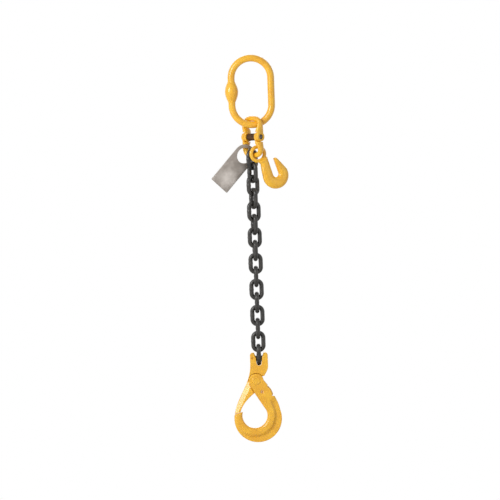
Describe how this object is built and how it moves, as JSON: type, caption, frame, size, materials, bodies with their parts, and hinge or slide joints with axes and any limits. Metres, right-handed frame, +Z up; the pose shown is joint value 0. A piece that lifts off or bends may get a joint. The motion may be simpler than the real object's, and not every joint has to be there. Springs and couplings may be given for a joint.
{
  "type": "chain sling",
  "caption": "Single-leg lifting chain sling: oblong master link, pinned coupling, shortening grab hook, bare tag, welded chain and self-locking clevis hook with sprung trigger.",
  "frame": {"origin": "inside crown of the master link, where the crane hook bears", "axes": "+Z up along the hanging sling, +X to the right and +Y away from a viewer in front of the hook's face"},
  "size_m": [0.1418, 0.0438, 0.7152],
  "materials": {
    "yellow_paint": "satin golden-yellow paint on forged steel",
    "black_chain": "black-lacquered welded chain",
    "bright_steel": "plain turned steel",
    "brown_steel": "brown phosphated steel",
    "tag_sheet": "bare stainless sheet"
  },
  "bodies": {
    "master_link": {"master_link": "yellow_paint"},
    "coupling_upper": {"coupling_upper_half": "yellow_paint", "coupling_load_pin": "bright_steel", "coupling_bush": "brown_steel"},
    "coupling_lower": {"coupling_lower_half": "yellow_paint"},
    "grab_hook": {"grab_hook": "yellow_paint"},
    "id_tag": {"id_tag": "tag_sheet"},
    "link_01": {"chain_link_01": "black_chain"},
    "link_02": {"chain_link_02": "black_chain"},
    "link_03": {"chain_link_03": "black_chain"},
    "link_04": {"chain_link_04": "black_chain"},
    "link_05": {"chain_link_05": "black_chain"},
    "link_06": {"chain_link_06": "black_chain"},
    "link_07": {"chain_link_07": "black_chain"},
    "link_08": {"chain_link_08": "black_chain"},
    "link_09": {"chain_link_09": "black_chain"},
    "link_10": {"chain_link_10": "black_chain"},
    "link_11": {"chain_link_11": "black_chain"},
    "link_12": {"chain_link_12": "black_chain"},
    "link_13": {"chain_link_13": "black_chain"},
    "link_14": {"chain_link_14": "black_chain"},
    "link_15": {"chain_link_15": "black_chain"},
    "link_16": {"chain_link_16": "black_chain"},
    "hook_upper": {"clevis_body": "yellow_paint", "clevis_load_pin": "bright_steel", "clevis_roll_pin": "bright_steel"},
    "hook_bowl": {"hook_body": "yellow_paint", "pivot_rivet": "yellow_paint", "trigger_pin": "bright_steel", "trigger_spring": "bright_steel"},
    "trigger": {"trigger": "yellow_paint"}
  },
  "joints": [
    {"name": "coupling_swing", "type": "hinge", "parent": "master_link", "child": "coupling_upper", "pos_m": [0, 0, -0.1165], "axis": [1, 0, 0], "range_deg": [-40, 40]},
    {"name": "coupling_fold", "type": "hinge", "parent": "coupling_upper", "child": "coupling_lower", "pos_m": [0, 0, -0.1392], "axis": [-0.6947, 0.7193, 0], "range_deg": [-60, 60]},
    {"name": "grab_hook_swing", "type": "hinge", "parent": "coupling_lower", "child": "grab_hook", "pos_m": [0.00811, -0.00537, -0.1707], "axis": [0.342, -0.9397, 0], "range_deg": [0, 80]},
    {"name": "tag_swing", "type": "hinge", "parent": "coupling_lower", "child": "id_tag", "pos_m": [-0.01692, 0.0073, -0.1728], "axis": [-0.3743, 0.9037, 0.2079], "range_deg": [0, 40]},
    {"name": "link_01_bend", "type": "hinge", "parent": "coupling_lower", "child": "link_01", "pos_m": [-0.00278, 0.00288, -0.17337], "axis": [0.6947, -0.7193, 0], "range_deg": [-60, 4]},
    {"name": "link_02_bend", "type": "hinge", "parent": "link_01", "child": "link_02", "pos_m": [-0.00278, 0.00288, -0.19662], "axis": [0.7193, 0.6947, 0], "range_deg": [-20, 20]},
    {"name": "link_03_bend", "type": "hinge", "parent": "link_02", "child": "link_03", "pos_m": [-0.00278, 0.00288, -0.22062], "axis": [-0.6123, 0.7907, 0], "range_deg": [-60, 60]},
    {"name": "link_04_bend", "type": "hinge", "parent": "link_03", "child": "link_04", "pos_m": [-0.00278, 0.00288, -0.24462], "axis": [-0.8505, -0.526, 0], "range_deg": [-75, 75]},
    {"name": "link_05_bend", "type": "hinge", "parent": "link_04", "child": "link_05", "pos_m": [-0.00278, 0.00288, -0.26862], "axis": [0.438, -0.899, 0], "range_deg": [-75, 75]},
    {"name": "link_06_bend", "type": "hinge", "parent": "link_05", "child": "link_06", "pos_m": [-0.00278, 0.00288, -0.29262], "axis": [0.9367, 0.3501, 0], "range_deg": [-75, 75]},
    {"name": "link_07_bend", "type": "hinge", "parent": "link_06", "child": "link_07", "pos_m": [-0.00278, 0.00288, -0.31662], "axis": [-0.2644, 0.9644, 0], "range_deg": [-75, 75]},
    {"name": "link_08_bend", "type": "hinge", "parent": "link_07", "child": "link_08", "pos_m": [-0.00278, 0.00288, -0.34062], "axis": [-0.9831, -0.1831, 0], "range_deg": [-75, 75]},
    {"name": "link_09_bend", "type": "hinge", "parent": "link_08", "child": "link_09", "pos_m": [-0.00278, 0.00288, -0.36462], "axis": [0.1085, -0.9941, 0], "range_deg": [-75, 75]},
    {"name": "link_10_bend", "type": "hinge", "parent": "link_09", "child": "link_10", "pos_m": [-0.00278, 0.00288, -0.38862], "axis": [0.999, 0.0441, 0], "range_deg": [-75, 75]},
    {"name": "link_11_bend", "type": "hinge", "parent": "link_10", "child": "link_11", "pos_m": [-0.00278, 0.00288, -0.41262], "axis": [0, 1, 0], "range_deg": [-75, 75]},
    {"name": "link_12_bend", "type": "hinge", "parent": "link_11", "child": "link_12", "pos_m": [-0.00278, 0.00288, -0.43662], "axis": [-1, 0, 0], "range_deg": [-75, 75]},
    {"name": "link_13_bend", "type": "hinge", "parent": "link_12", "child": "link_13", "pos_m": [-0.00278, 0.00288, -0.46062], "axis": [0, -1, 0], "range_deg": [-75, 75]},
    {"name": "link_14_bend", "type": "hinge", "parent": "link_13", "child": "link_14", "pos_m": [-0.00278, 0.00288, -0.48462], "axis": [1, 0, 0], "range_deg": [-75, 75]},
    {"name": "link_15_bend", "type": "hinge", "parent": "link_14", "child": "link_15", "pos_m": [-0.00278, 0.00288, -0.50862], "axis": [0, 1, 0], "range_deg": [-75, 75]},
    {"name": "link_16_bend", "type": "hinge", "parent": "link_15", "child": "link_16", "pos_m": [-0.00278, 0.00288, -0.53262], "axis": [-1, 0, 0], "range_deg": [-75, 75]},
    {"name": "clevis_swing", "type": "hinge", "parent": "link_16", "child": "hook_upper", "pos_m": [-0.00278, 0.00288, -0.54732], "axis": [1, 0, 0], "range_deg": [-75, 75]},
    {"name": "hook_open", "type": "hinge", "parent": "hook_upper", "child": "hook_bowl", "pos_m": [-0.00928, 0.00288, -0.58912], "axis": [0, -1, 0], "range_deg": [0, 30]},
    {"name": "trigger_press", "type": "hinge", "parent": "hook_bowl", "child": "trigger", "pos_m": [0.00102, 0.00288, -0.60982], "axis": [0, 1, 0], "range_deg": [0, 15], "deforming": ["trigger_spring"]}
  ],
  "couplings": [
    {"joint": "trigger_press", "follows": "hook_open", "ratio": 0.5}
  ]
}
